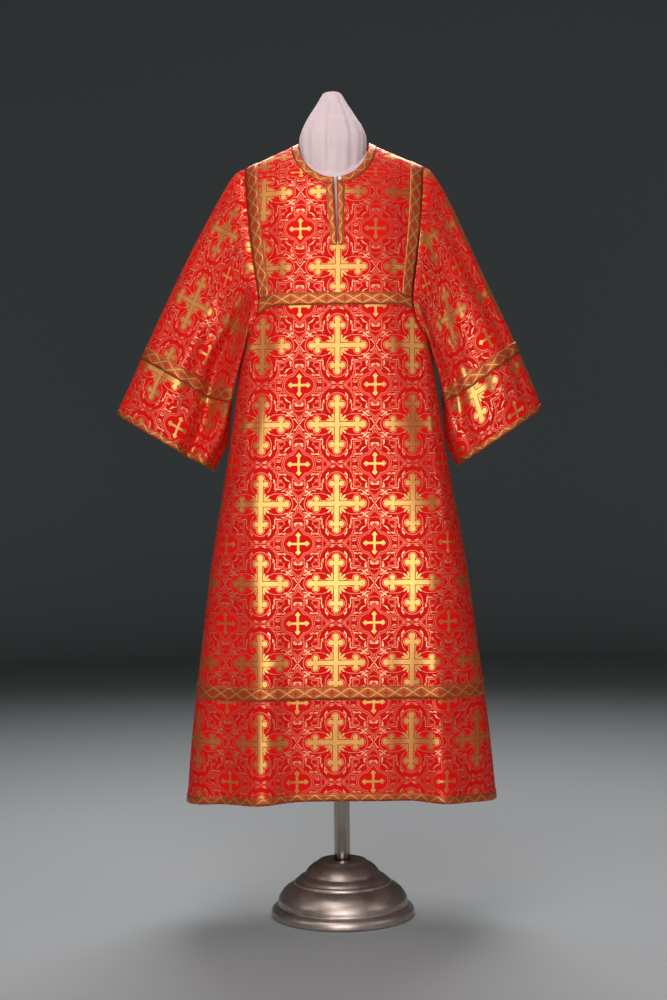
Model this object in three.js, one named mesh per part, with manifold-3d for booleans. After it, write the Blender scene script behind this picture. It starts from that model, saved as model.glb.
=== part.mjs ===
// A sticharion on a limbless dress form with a round stepped base.
// Millimetres, +Z up, the front of the garment faces -Y, the floor is Z = 0.
import * as THREE from 'three';
import { mergeVertices } from 'three/addons/utils/BufferGeometryUtils.js';
import Module from 'manifold-3d';

const wasm = await Module();
wasm.setup();

// Cloth sizes
const clothWall = 1.6;
const braidWall = 0.8;
const braidLift = 0.45;
const collarLift = 0.55;
const seamGap = 0.3;
const hemBraid = 15;
const collarBraid = 14;

// Garment heights
const hemFront = 252;
const hemSide = 238;
const lowerBandLow = 446;
const lowerBandHigh = 472;
const chestBandLow = 1203;
const chestBandHigh = 1227;
const underarm = 1130;
const shoulderTip = { x: 178, z: 1490 };
const shoulderSlope = 0.459;
const collarPoint = { x: 80, z: 1535 };
const neckHalfWidth = 70;
const neckFront = 1458;
const neckBack = 1530;
const capStart = 1180;
const backBow = 2.7;

// Front opening
const slitTop = { x: 2.5, half: 2.6 };
const slitFoot = { x: 5, z: 1327, half: 0.8 };
const placketLeft = 17;
const placketRight = 15;
const buttonRadius = 4;

// Stand
const postRadius = 16;
const postFoot = 104;
const torsoFoot = 780;
const formSink = 2.3;
const neckSink = 5;

// Body sections; bow says how squarely the front turns to the side
const bodySections = [
  { z: 238, width: 307, front: 146, back: 162, bow: 3.3 },
  { z: 350, width: 297, front: 148, back: 158, bow: 3.5 },
  { z: 468, width: 283, front: 150, back: 154, bow: 3.7 },
  { z: 630, width: 262, front: 149, back: 147, bow: 4 },
  { z: 718, width: 250, front: 146, back: 142, bow: 4 },
  { z: 800, width: 236, front: 143, back: 137, bow: 4 },
  { z: 934, width: 213, front: 139, back: 130, bow: 3.9 },
  { z: 1130, width: 190, front: 134, back: 124, bow: 3.7 },
  { z: 1250, width: 187, front: 131, back: 121, bow: 3.3 },
  { z: 1350, width: 184, front: 127, back: 117, bow: 3.1 },
  { z: 1450, width: 182, front: 118, back: 110, bow: 3 },
  { z: 1560, width: 181, front: 110, back: 104, bow: 3 },
];

const armholeEdge = [
  { z: 1130, x: 190 },
  { z: 1142, x: 178 },
  { z: 1160, x: 164 },
  { z: 1190, x: 153 },
  { z: 1221, x: 150 },
  { z: 1295, x: 160 },
  { z: 1390, x: 171 },
  { z: 1490, x: 178 },
];

// Soft folds of the skirt: place at the hem, half width, rise at the hem, height where they end
const frontFolds = [
  { x: -152, spread: 34, rise: 36, top: 1080 },
  { x: -236, spread: 30, rise: -14, top: 900 },
  { x: 198, spread: 38, rise: 26, top: 1060 },
  { x: 135, spread: 40, rise: -12, top: 900 },
  { x: -84, spread: 34, rise: -6, top: 760 },
];

const backFolds = [
  { x: -190, spread: 40, rise: 26, top: 1060 },
  { x: -95, spread: 42, rise: -14, top: 1100 },
  { x: 0, spread: 40, rise: 18, top: 1180 },
  { x: 100, spread: 40, rise: -16, top: 1060 },
  { x: 195, spread: 42, rise: 24, top: 1000 },
];

// Column places from the centre line to the edge of a panel
const halfColumns = [0, 0.1, 0.2, 0.3, 0.355, 0.382, 0.39326, 0.47, 0.57, 0.67, 0.77, 0.86, 0.93, 1];
const shoulderBandColumns = 3;
const shoulderBandFirst = 5;
const leftHalf = (r, c) => c >= halfColumns.length - 1;
const skirtRows = [350, lowerBandLow, lowerBandHigh, 580, 700, 830, 960, 1060, underarm];
const lowerBandRows = [3, 4];
const armholeSteps = 12;

const rightSleeve = {
  side: -1,
  line: [
    { w: 0, outX: 178, outZ: 1490, inX: 190, inZ: 1130, front: 100, back: 95 },
    { w: 0.04, outX: 189, outZ: 1487, inX: 195, inZ: 1133, front: 99, back: 94 },
    { w: 0.1, outX: 206, outZ: 1470, inX: 200, inZ: 1130, front: 96, back: 90 },
    { w: 0.2, outX: 243, outZ: 1408, inX: 204, inZ: 1118, front: 88, back: 82 },
    { w: 0.35, outX: 301, outZ: 1300, inX: 206, inZ: 1096, front: 76, back: 72 },
    { w: 0.5, outX: 361, outZ: 1177, inX: 208, inZ: 1067, front: 66, back: 62 },
    { w: 0.66, outX: 390, outZ: 1114, inX: 212, inZ: 1006, front: 60, back: 56 },
    { w: 0.82, outX: 417, outZ: 1055, inX: 217, inZ: 948, front: 55, back: 52 },
    { w: 0.955, outX: 434, outZ: 1019, inX: 239, inZ: 903, front: 51, back: 49 },
    { w: 1, outX: 439, outZ: 1003, inX: 248, inZ: 888, front: 50, back: 48 },
  ],
  folds: [
    { turn: 0.76, spread: 0.1, w: 0.5, reach: 0.34, dx: -20, dy: 26 },
    { turn: 0.58, spread: 0.08, w: 0.45, reach: 0.3, dx: 3, dy: -13 },
    { turn: 0.36, spread: 0.12, w: 0.85, reach: 0.3, dx: 0, dy: 9 },
    { turn: 1.3, spread: 0.14, w: 0.6, reach: 0.35, dx: 0, dy: 12 },
    { turn: 1.55, spread: 0.1, w: 0.75, reach: 0.35, dx: 0, dy: -10 },
  ],
};

const leftSleeve = {
  side: 1,
  line: [
    { w: 0, outX: 178, outZ: 1490, inX: 190, inZ: 1130, front: 100, back: 95 },
    { w: 0.04, outX: 189, outZ: 1486, inX: 195, inZ: 1133, front: 99, back: 94 },
    { w: 0.1, outX: 204, outZ: 1467, inX: 200, inZ: 1130, front: 96, back: 90 },
    { w: 0.2, outX: 236, outZ: 1408, inX: 204, inZ: 1118, front: 88, back: 82 },
    { w: 0.35, outX: 284, outZ: 1300, inX: 206, inZ: 1096, front: 78, back: 73 },
    { w: 0.5, outX: 339, outZ: 1180, inX: 208, inZ: 1067, front: 70, back: 65 },
    { w: 0.66, outX: 367, outZ: 1116, inX: 211, inZ: 1008, front: 64, back: 60 },
    { w: 0.82, outX: 391, outZ: 1057, inX: 215, inZ: 950, front: 60, back: 56 },
    { w: 0.955, outX: 405, outZ: 1020, inX: 231, inZ: 908, front: 56, back: 54 },
    { w: 1, outX: 408, outZ: 1004, inX: 239, inZ: 893, front: 55, back: 53 },
  ],
  folds: [
    { turn: 0.77, spread: 0.1, w: 0.45, reach: 0.32, dx: -9, dy: 18 },
    { turn: 0.6, spread: 0.08, w: 0.4, reach: 0.3, dx: 2, dy: -9 },
    { turn: 0.38, spread: 0.12, w: 0.75, reach: 0.35, dx: 0, dy: 10 },
    { turn: 1.32, spread: 0.14, w: 0.6, reach: 0.35, dx: 0, dy: 12 },
    { turn: 1.58, spread: 0.1, w: 0.7, reach: 0.35, dx: 0, dy: -9 },
  ],
};

// Ring places down a sleeve: the pairs bound the galloon and the cuff braid
const sleeveRings = [0, 0.03, 0.08, 0.15, 0.24, 0.34, 0.44, 0.52, 0.591, 0.657, 0.75, 0.86, 0.968, 1];
const sleeveBand = [8, 9];
const cuffBand = [12, 13];

const torsoSections = [
  { z: 780, width: 128, front: 84, back: 80 },
  { z: 860, width: 158, front: 98, back: 98 },
  { z: 930, width: 165, front: 104, back: 104 },
  { z: 1050, width: 142, front: 94, back: 88 },
  { z: 1150, width: 146, front: 102, back: 92 },
  { z: 1260, width: 154, front: 112, back: 98 },
  { z: 1400, width: 160, front: 112, back: 100 },
  { z: 1490, width: 164, front: 104, back: 96 },
  { z: 1560, width: 164, front: 98, back: 92 },
];

const torsoRings = [
  780, 800, 830, 870, 930, 990, 1050, 1120, 1200, 1280, 1350, 1410, 1450, 1480, 1500, 1515, 1530, 1542, 1552,
];

const neckSections = [
  { z: 1430, width: 58, depth: 44 },
  { z: 1480, width: 60, depth: 47 },
  { z: 1530, width: 63, depth: 48 },
  { z: 1552, width: 65, depth: 47 },
  { z: 1575, width: 56, depth: 42 },
  { z: 1597, width: 43, depth: 34 },
  { z: 1615, width: 31, depth: 26 },
  { z: 1630, width: 22, depth: 19 },
  { z: 1640, width: 15, depth: 13 },
];
const neckRings = [1430, 1470, 1505, 1530, 1552, 1570, 1587, 1603, 1617, 1630, 1640];
const neckShift = -16;

// Base outline, radius and height, from the floor up to the recess round the post
const baseOutline = [
  [0, 0], [143, 0], [143, 6], [140.5, 16], [132, 21], [129.5, 25], [129, 33], [125.5, 41],
  [119, 50], [110, 57.5], [101, 62], [96.5, 64.5], [96, 67.5], [92, 70], [88, 75], [79, 80],
  [75, 83.5], [70, 91], [62, 99], [54, 103.5], [49.5, 107], [42, 111], [23, 111], [19, 109],
  [18.5, postFoot], [0, postFoot],
];

const slots = {
  brocade: { color: 0xb3261c, roughness: 0.5, metalness: 0.15 },
  galloon: { color: 0xc08a48, roughness: 0.45, metalness: 0.35 },
  button: { color: 0xf2eee8, roughness: 0.2, metalness: 0 },
  formCloth: { color: 0xe1cdd2, roughness: 0.85, metalness: 0 },
  postSteel: { color: 0x9a948c, roughness: 0.3, metalness: 1 },
  baseMetal: { color: 0x7d6f6b, roughness: 0.35, metalness: 1 },
};

const part = new THREE.Group();

function addMesh(name, geometry, slot) {
  const mesh = new THREE.Mesh(geometry, new THREE.MeshStandardMaterial(slots[slot]));
  mesh.name = name;
  part.add(mesh);
}

// Smooth reading of one column of a table between its rows
function read(rows, key, at, column) {
  const last = rows.length - 1;
  if (at <= rows[0][key]) return rows[0][column];
  if (at >= rows[last][key]) return rows[last][column];
  let i = 0;
  while (rows[i + 1][key] < at) i += 1;
  const tangent = (k) => {
    const before = rows[Math.max(k - 1, 0)];
    const after = rows[Math.min(k + 1, last)];
    return (after[column] - before[column]) / (after[key] - before[key]);
  };
  const span = rows[i + 1][key] - rows[i][key];
  const t = (at - rows[i][key]) / span;
  const rise = t * t * (3 - 2 * t);
  const lead = t * (1 - t) * (1 - t) * span * tangent(i);
  const tail = t * t * (1 - t) * span * tangent(i + 1);
  return rows[i][column] * (1 - rise) + rows[i + 1][column] * rise + lead - tail;
}

function smooth(t) {
  const s = Math.min(Math.max(t, 0), 1);
  return s * s * (3 - 2 * s);
}

// Height of the shoulder line, softly rounded over the centre
function ridge(x) {
  const soft = 30;
  return collarPoint.z - shoulderSlope * (Math.hypot(x, soft) - Math.hypot(collarPoint.x, soft));
}

function neckline(x, low, half) {
  const across = Math.min(Math.abs(x) / half, 1);
  return low + (ridge(half) - low) * (1 - Math.sqrt(1 - across * across));
}

function bodyDepth(x, z, face) {
  const width = read(bodySections, 'z', z, 'width');
  const across = Math.min(Math.abs(x) / width, 1);
  const power = face === 'front' ? read(bodySections, 'z', z, 'bow') : backBow;
  const bow = (1 - across ** power) ** (1 / power);
  const t = Math.min(Math.max((z - capStart) / (ridge(x) - capStart), 0), 1);
  let depth = read(bodySections, 'z', z, face);
  for (const fold of face === 'front' ? frontFolds : backFolds) {
    const fade = Math.max((fold.top - z) / (fold.top - hemSide), 0) ** 1.25;
    const place = fold.x * width / bodySections[0].width;
    depth += fold.rise * fade * Math.exp(-(((x - place) / fold.spread) ** 2));
  }
  return depth * bow * Math.sqrt(1 - t * t);
}

// Vertex normals of a tube of rings
function ringNormals(grid) {
  const rows = grid.length;
  const cols = grid[0].length;
  return grid.map((line, r) => line.map((point, c) => {
    const along = grid[r][(c + 1) % cols].clone().sub(grid[r][(c + cols - 1) % cols]);
    const up = grid[Math.min(r + 1, rows - 1)][c].clone().sub(grid[Math.max(r - 1, 0)][c]);
    return along.cross(up).normalize();
  }));
}

function moved(grid, normals, distance) {
  return grid.map((line, r) => line.map((point, c) => (
    point.clone().addScaledVector(normals[r][c], distance)
  )));
}

// A closed wall between an outer and an inner grid of points; some quads split the other way
function wall(outer, inner, wrap, flipped = () => false) {
  const rows = outer.length;
  const cols = outer[0].length;
  const points = [...outer.flat(), ...inner.flat()];
  const faces = [];
  const outerAt = (r, c) => r * cols + (c % cols);
  const innerAt = (r, c) => rows * cols + outerAt(r, c);
  const quad = (a, b, c, d) => faces.push(a, b, c, a, c, d);
  const steps = wrap ? cols : cols - 1;
  for (let r = 0; r < rows - 1; r += 1) {
    for (let c = 0; c < steps; c += 1) {
      const corners = [[r, c], [r, c + 1], [r + 1, c + 1], [r + 1, c]];
      if (flipped(r, c)) corners.push(corners.shift());
      quad(...corners.map(([i, j]) => outerAt(i, j)));
      quad(...[0, 3, 2, 1].map((k) => innerAt(...corners[k])));
    }
    if (!wrap) {
      quad(outerAt(r, 0), outerAt(r + 1, 0), innerAt(r + 1, 0), innerAt(r, 0));
      quad(outerAt(r + 1, cols - 1), outerAt(r, cols - 1), innerAt(r, cols - 1), innerAt(r + 1, cols - 1));
    }
  }
  for (let c = 0; c < steps; c += 1) {
    quad(outerAt(0, c + 1), outerAt(0, c), innerAt(0, c), innerAt(0, c + 1));
    quad(outerAt(rows - 1, c), outerAt(rows - 1, c + 1), innerAt(rows - 1, c + 1), innerAt(rows - 1, c));
  }
  return solid(points, faces);
}

// A closed body through horizontal rings, capped at both ends
function stack(rings) {
  const cols = rings[0].length;
  const points = rings.flat();
  const faces = [];
  for (let r = 0; r < rings.length - 1; r += 1) {
    for (let c = 0; c < cols; c += 1) {
      const a = r * cols + c;
      const b = r * cols + ((c + 1) % cols);
      faces.push(a, b, b + cols, a, b + cols, a + cols);
    }
  }
  for (const r of [0, rings.length - 1]) {
    const middle = new THREE.Vector3();
    rings[r].forEach((point) => middle.addScaledVector(point, 1 / cols));
    points.push(middle);
    for (let c = 0; c < cols; c += 1) {
      const a = r * cols + c;
      const b = r * cols + ((c + 1) % cols);
      faces.push(...(r === 0 ? [b, a] : [a, b]), points.length - 1);
    }
  }
  return solid(points, faces);
}

function solid(points, faces) {
  const geometry = new THREE.BufferGeometry();
  const numbers = points.flatMap((p) => [p.x, p.y, p.z]);
  geometry.setAttribute('position', new THREE.Float32BufferAttribute(numbers, 3));
  let volume = 0;
  for (let i = 0; i < faces.length; i += 3) {
    const [a, b, c] = [points[faces[i]], points[faces[i + 1]], points[faces[i + 2]]];
    volume += a.dot(b.clone().cross(c));
  }
  geometry.setIndex(volume < 0 ? faces.slice().reverse() : faces);
  geometry.computeVertexNormals();
  return geometry;
}

function toManifold(geometry) {
  const bare = geometry.clone();
  bare.deleteAttribute('normal');
  bare.deleteAttribute('uv');
  const merged = mergeVertices(bare, 1e-4);
  const mesh = new wasm.Mesh({
    numProp: 3,
    vertProperties: Float32Array.from(merged.attributes.position.array),
    triVerts: Uint32Array.from(merged.index.array),
  });
  return new wasm.Manifold(mesh);
}

function fromManifold(body) {
  const mesh = body.getMesh();
  const geometry = new THREE.BufferGeometry();
  geometry.setAttribute('position', new THREE.BufferAttribute(Float32Array.from(mesh.vertProperties), 3));
  geometry.setIndex(Array.from(mesh.triVerts));
  geometry.computeVertexNormals();
  return geometry;
}

// Body panels

function panelGrid(face) {
  const outward = face === 'front' ? -1 : 1;
  const columns = [...halfColumns.slice(1).reverse().map((c) => -c), ...halfColumns];
  const places = face === 'front' ? columns : columns.slice().reverse();
  const low = face === 'front' ? neckFront : neckBack;
  const rows = [];
  const pushRow = (at) => rows.push(places.map((c) => {
    const { x, z } = at(c);
    return new THREE.Vector3(x, outward * (bodyDepth(x, z, face) + seamGap / 2), z);
  }));
  const hemAt = (c) => (face === 'front' ? hemFront + (hemSide - hemFront) * c * c : hemSide);
  const widthAt = (z) => read(bodySections, 'z', z, 'width');
  const spread = (c, z) => c * (1 + 0.5 * Math.abs(c) * (1 - Math.abs(c)) * smooth((underarm - z) / 260));
  [0, hemBraid].forEach((up) => pushRow((c) => {
    const z = hemAt(c) + up;
    return { x: widthAt(z) * spread(c, z), z };
  }));
  skirtRows.forEach((z) => pushRow((c) => ({ x: widthAt(z) * spread(c, z), z })));
  for (let k = 1; k <= armholeSteps; k += 1) {
    const part01 = (1 - Math.cos(k * Math.PI / armholeSteps)) / 2;
    pushRow((c) => {
      const topX = shoulderTip.x * c;
      const inNeck = Math.abs(topX) < neckHalfWidth;
      const top = inNeck ? neckline(topX, low, neckHalfWidth) : ridge(topX);
      const edge = read(armholeEdge, 'z', underarm + (shoulderTip.z - underarm) * part01, 'x');
      return { x: edge * c, z: underarm + (top - underarm) * part01 };
    });
  }
  const normals = rows.map((row) => row.map(({ x, z }) => {
    const reach = 0.4;
    const slopeX = bodyDepth(x + reach, z, face) - bodyDepth(x - reach, z, face);
    const slopeZ = bodyDepth(x, z + reach, face) - bodyDepth(x, z - reach, face);
    return new THREE.Vector3(-slopeX, outward * 2 * reach, -slopeZ).normalize();
  }));
  const lastCol = places.length - 1;
  const level = (r, c) => normals[r][c].setY(0).normalize();
  for (let r = 0; r <= skirtRows.length + 1; r += 1) {
    level(r, 0);
    level(r, lastCol);
  }
  places.forEach((c, i) => {
    if (shoulderTip.x * Math.abs(c) >= neckHalfWidth - 1) level(rows.length - 1, i);
  });
  return { face, places, rows, normals };
}

const front = panelGrid('front');
const back = panelGrid('back');

const slitCutter = new THREE.Shape([
  new THREE.Vector2(slitTop.x - slitTop.half, neckFront + 12),
  new THREE.Vector2(slitTop.x - slitTop.half, neckFront - 20),
  new THREE.Vector2(slitFoot.x - slitFoot.half, slitFoot.z),
  new THREE.Vector2(slitFoot.x + slitFoot.half, slitFoot.z),
  new THREE.Vector2(slitTop.x + slitTop.half, neckFront - 20),
  new THREE.Vector2(slitTop.x + slitTop.half, neckFront + 12),
]);
const slitBody = new THREE.ExtrudeGeometry(slitCutter, { depth: 200, bevelEnabled: false });
slitBody.rotateX(Math.PI / 2);

const frontWall = wall(front.rows, moved(front.rows, front.normals, -clothWall), false, leftHalf);
const backWall = wall(back.rows, moved(back.rows, back.normals, -clothWall), false, leftHalf);
addMesh('front_panel', fromManifold(toManifold(frontWall).subtract(toManifold(slitBody))), 'brocade');
addMesh('back_panel', backWall, 'brocade');

// Sleeves

function armholePoint(panel, side, k) {
  const rightEnd = (panel.face === 'front') === (side > 0);
  const c = rightEnd ? panel.places.length - 1 : 0;
  const r = skirtRows.length + 1 + k;
  const inside = panel.rows[r][rightEnd ? c - 1 : 1];
  return { point: panel.rows[r][c], normal: panel.normals[r][c], inside };
}

function sleeveGrid(sleeve) {
  const count = 2 * armholeSteps;
  const line = (w, column) => read(sleeve.line, 'w', w, column);
  const oval = (w, turn) => {
    const outX = line(w, 'outX');
    const outZ = line(w, 'outZ');
    const inX = line(w, 'inX');
    const inZ = line(w, 'inZ');
    const reach = Math.cos(turn * Math.PI);
    const bulge = Math.sin(turn * Math.PI);
    const x = (outX + inX) / 2 + (outX - inX) / 2 * reach;
    const y = -bulge * line(w, bulge > 0 ? 'front' : 'back');
    const z = (outZ + inZ) / 2 + (outZ - inZ) / 2 * reach;
    return new THREE.Vector3(sleeve.side * x, y, z);
  };
  const starts = [];
  for (let c = 0; c < count; c += 1) {
    const k = Math.abs(armholeSteps - c);
    const panel = c <= armholeSteps ? front : back;
    const { point, normal, inside } = armholePoint(panel, sleeve.side, k);
    const away = point.clone().sub(inside);
    away.addScaledVector(normal, -away.dot(normal)).normalize();
    if (k === 0) away.set(sleeve.side * 0.5, 0, 0.87);
    if (k === armholeSteps) away.set(sleeve.side * 0.9, 0, -0.44);
    const start = point.clone().addScaledVector(away, seamGap + 0.1);
    if (k === 0 || k === armholeSteps) start.y = 0;
    starts.push({ start, normal: normal.clone() });
  }
  const rows = sleeveRings.map((w) => starts.map(({ start }, c) => {
    const turn = c / armholeSteps;
    const point = oval(w, turn);
    point.addScaledVector(start.clone().sub(oval(0, turn)), 1 - smooth(w / 0.75));
    for (const fold of sleeve.folds) {
      const near = Math.exp(-(((turn - fold.turn) / fold.spread) ** 2) - ((w - fold.w) / fold.reach) ** 2);
      const grow = smooth(w / 0.2) * near;
      point.x += sleeve.side * fold.dx * grow;
      point.y -= fold.dy * grow * Math.sign(Math.sin(turn * Math.PI));
    }
    return point;
  }));
  const normals = ringNormals(rows);
  const outward = normals[6][armholeSteps / 2].y < 0 ? 1 : -1;
  normals.flat().forEach((normal) => normal.multiplyScalar(outward));
  starts.forEach(({ normal }, c) => {
    const low = Math.abs(c - armholeSteps) < 4;
    normals[0][c].copy(low ? normals[0][c].add(normal).normalize() : normal);
  });
  return { rows, normals };
}

function addSleeve(name, sleeve) {
  const grid = sleeveGrid(sleeve);
  addMesh(`sleeve_${name}`, wall(grid.rows, moved(grid.rows, grid.normals, -clothWall), true), 'brocade');
  for (const [band, pair] of [['sleeve_band', sleeveBand], ['cuff_band', cuffBand]]) {
    const rows = grid.rows.slice(pair[0], pair[1] + 1);
    const normals = grid.normals.slice(pair[0], pair[1] + 1);
    const inner = moved(rows, normals, braidLift);
    addMesh(`${band}_${name}`, wall(moved(rows, normals, braidLift + braidWall), inner, true), 'galloon');
  }
}

addSleeve('right', rightSleeve);
addSleeve('left', leftSleeve);

// Braid laid on the panels

function strip(name, rows, normals, flipped = leftHalf) {
  const inner = moved(rows, normals, braidLift);
  addMesh(name, wall(moved(rows, normals, braidLift + braidWall), inner, false, flipped), 'galloon');
}

// A point of a panel found along one of its columns or rows
function between(points, normals, key, at) {
  let i = 0;
  while (i < points.length - 2 && points[i + 1][key] < at) i += 1;
  const t = (at - points[i][key]) / (points[i + 1][key] - points[i][key]);
  return {
    point: points[i].clone().lerp(points[i + 1], t),
    normal: normals[i].clone().lerp(normals[i + 1], t).normalize(),
  };
}

// A level line across a panel
function levelLine(panel, z) {
  const cells = panel.places.map((place, c) => (
    between(panel.rows.map((row) => row[c]), panel.normals.map((row) => row[c]), 'z', z)
  ));
  return { rows: cells.map((cell) => cell.point), normals: cells.map((cell) => cell.normal) };
}

function levelBand(name, panel, low, high) {
  const lines = [low, (low + high) / 2, high].map((z) => levelLine(panel, z));
  for (const { rows: line } of lines) {
    for (const [end, next] of [line, line.slice().reverse()]) {
      end.lerp(next, 1.2 / end.distanceTo(next));
    }
  }
  strip(name, lines.map((line) => line.rows), lines.map((line) => line.normals));
}

for (const panel of [front, back]) {
  levelBand(`chest_band_${panel.face}`, panel, chestBandLow, chestBandHigh);
  const [points, normals] = [panel.rows, panel.normals].map((grid) => lowerBandRows.map((r) => grid[r]));
  strip(`lower_band_${panel.face}`, points, normals);
  strip(`hem_band_${panel.face}`, panel.rows.slice(0, 2), panel.normals.slice(0, 2));
}

// Armhole braid, from the chest braid over the shoulder line to the back
function addShoulderBand(name, side) {
  const first = skirtRows.length + 1 + shoulderBandFirst;
  const count = shoulderBandColumns;
  const pick = (line, atEnd) => (atEnd ? line.slice(-count) : line.slice(0, count));
  const column = (panel, key) => [levelLine(panel, chestBandHigh + 1.5)[key], ...panel[key].slice(first)];
  const turned = (grid) => grid.slice(0, -1).reverse().map((line) => line.slice().reverse());
  const [points, normals] = ['rows', 'normals'].map((key) => {
    const ahead = column(front, key).map((line) => pick(line, side > 0));
    const behind = column(back, key).map((line) => pick(line, side < 0));
    return [...ahead, ...turned(behind)].map((line) => line.map((v) => v.clone()));
  });
  const top = front.rows.length - first;
  points[top].forEach((point) => point.setY(0));
  for (const line of points) {
    const [edge, next] = side > 0 ? [line[line.length - 1], line[line.length - 2]] : line;
    edge.lerp(next, 0.8 / edge.distanceTo(next));
  }
  strip(name, points, normals, (r) => (r < top) === (side > 0));
}

addShoulderBand('shoulder_band_right', -1);
addShoulderBand('shoulder_band_left', 1);

// Braid cut from a layer over a panel by an outline seen from the front
function cutBraid(name, panel, outline, lift = braidLift) {
  const { rows, normals } = panel;
  const layer = wall(moved(rows, normals, lift + braidWall), moved(rows, normals, lift), false, leftHalf);
  const shape = new THREE.Shape(outline.map(([x, z]) => new THREE.Vector2(x, z)));
  const prism = new THREE.ExtrudeGeometry(shape, { depth: 200, bevelEnabled: false });
  prism.rotateX(Math.PI / 2);
  if (panel.face === 'back') prism.translate(0, 200, 0);
  addMesh(name, fromManifold(toManifold(layer).intersect(toManifold(prism))), 'galloon');
}

// Collar braid: its lower edge follows the neckline one braid width out
function collarEdge(low, fromX, toX) {
  const half = neckHalfWidth + collarBraid;
  const points = [];
  for (let i = 0; i <= 14; i += 1) {
    const x = fromX + (toX - fromX) * Math.sin(i * Math.PI / 28);
    points.push([x, neckline(x, low - collarBraid * 1.15, half)]);
  }
  return points;
}

const collarHalf = neckHalfWidth + collarBraid;
const slitSide = (sign) => slitTop.x + sign * (slitTop.half + 0.3);
for (const [name, sign] of [['right', -1], ['left', 1]]) {
  const edge = collarEdge(neckFront, slitSide(sign), sign * collarHalf);
  const outline = [...edge, [sign * collarHalf, 1600], [slitSide(sign), 1600]];
  cutBraid(`neck_band_${name}`, front, outline, collarLift);
}
cutBraid('neck_band_back', back, [
  ...collarEdge(neckBack, 0, -collarHalf).reverse(),
  ...collarEdge(neckBack, 0, collarHalf).slice(1),
  [collarHalf, 1600],
  [-collarHalf, 1600],
], collarLift);

// Placket braid beside the slit
function addPlacket(name, sign, width) {
  const high = neckFront - collarBraid * 1.15 - 1.5;
  const foot = slitFoot.x + sign * (slitFoot.half + 0.3);
  cutBraid(name, front, [
    [slitSide(sign), high],
    [slitSide(sign), neckFront - 20],
    [foot, slitFoot.z],
    [foot, slitFoot.z - 7],
    [foot + sign * width * 0.72, slitFoot.z - 7],
    [slitSide(sign) + sign * width, high],
  ]);
}

addPlacket('placket_band_right', -1, placketLeft);
addPlacket('placket_band_left', 1, placketRight);

// Pearl button on the collar braid
const button = new THREE.SphereGeometry(buttonRadius, 16, 10);
const buttonX = slitTop.x + slitTop.half + 5.5;
const buttonZ = neckFront - 7;
const buttonLift = braidLift + braidWall + buttonRadius + 0.15;
button.translate(buttonX, -bodyDepth(buttonX, buttonZ, 'front') - buttonLift, buttonZ + 1.5);
addMesh('button', button, 'button');

// Dress form

// The shoulder line of the form, just under the cloth and lower beside the neck
function formRidge(x) {
  return ridge(x) - formSink - neckSink * smooth((118 - Math.abs(x)) / 30);
}

function torsoRing(z) {
  const wide = read(torsoSections, 'z', z, 'width');
  let [near, far] = [4, wide];
  for (let i = 0; i < 24; i += 1) {
    const middle = (near + far) / 2;
    if (formRidge(middle) > z) near = middle;
    else far = middle;
  }
  const width = formRidge(wide) > z ? wide : near;
  const ring = [];
  for (let i = 0; i < 24; i += 1) {
    const angle = i * Math.PI / 12;
    const x = width * Math.cos(angle);
    const side = Math.sin(angle) > 0 ? 'back' : 'front';
    const bow = Math.max(1 - Math.abs(Math.cos(angle)) ** 2.4, 0) ** (1 / 2.4);
    const t = Math.min(Math.max((z - capStart) / (formRidge(x) - capStart), 0), 1);
    const depth = read(torsoSections, 'z', z, side) * bow * Math.sqrt(1 - t * t);
    ring.push(new THREE.Vector3(x, side === 'back' ? depth : -depth, z));
  }
  return ring;
}

function neckRing(z) {
  const ring = [];
  for (let i = 0; i < 24; i += 1) {
    const angle = i * Math.PI / 12 + 0.01;
    const x = read(neckSections, 'z', z, 'width') * Math.cos(angle) - 2;
    const y = read(neckSections, 'z', z, 'depth') * Math.sin(angle) + neckShift;
    ring.push(new THREE.Vector3(x, y, z));
  }
  return ring;
}

const torso = toManifold(stack(torsoRings.map(torsoRing)));
const neck = toManifold(stack(neckRings.map(neckRing)));
addMesh('form_body', fromManifold(torso.add(neck)), 'formCloth');

// Stand

const postLength = torsoFoot - postFoot - 0.4;
const post = new THREE.CylinderGeometry(postRadius, postRadius, postLength, 32);
post.rotateX(Math.PI / 2);
post.translate(0, 0, postFoot + 0.2 + postLength / 2);
addMesh('post', post, 'postSteel');

const base = new THREE.LatheGeometry(baseOutline.map(([r, z]) => new THREE.Vector2(r, z)), 40);
base.rotateX(Math.PI / 2);
addMesh('base', base, 'baseMetal');

export default part;
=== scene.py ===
import math

import bmesh
import bpy
from mathutils import Matrix, Vector


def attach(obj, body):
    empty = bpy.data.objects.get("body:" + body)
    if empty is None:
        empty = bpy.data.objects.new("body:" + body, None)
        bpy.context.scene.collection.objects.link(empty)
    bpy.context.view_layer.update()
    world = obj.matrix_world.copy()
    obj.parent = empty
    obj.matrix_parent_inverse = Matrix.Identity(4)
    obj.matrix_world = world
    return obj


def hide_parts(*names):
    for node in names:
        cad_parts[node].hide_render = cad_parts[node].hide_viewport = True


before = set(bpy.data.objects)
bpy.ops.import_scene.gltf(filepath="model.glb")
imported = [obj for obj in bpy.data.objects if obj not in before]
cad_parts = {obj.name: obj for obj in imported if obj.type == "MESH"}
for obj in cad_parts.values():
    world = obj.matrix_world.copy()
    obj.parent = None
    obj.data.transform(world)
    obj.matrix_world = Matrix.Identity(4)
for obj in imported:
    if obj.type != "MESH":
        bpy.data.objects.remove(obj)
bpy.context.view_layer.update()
print("frame loaded")

mm = 0.001

cameraSetup = {"x": -0.009, "distance": 3.3, "height": 0.828, "lens": 59.4, "roll": 0.7}

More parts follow.
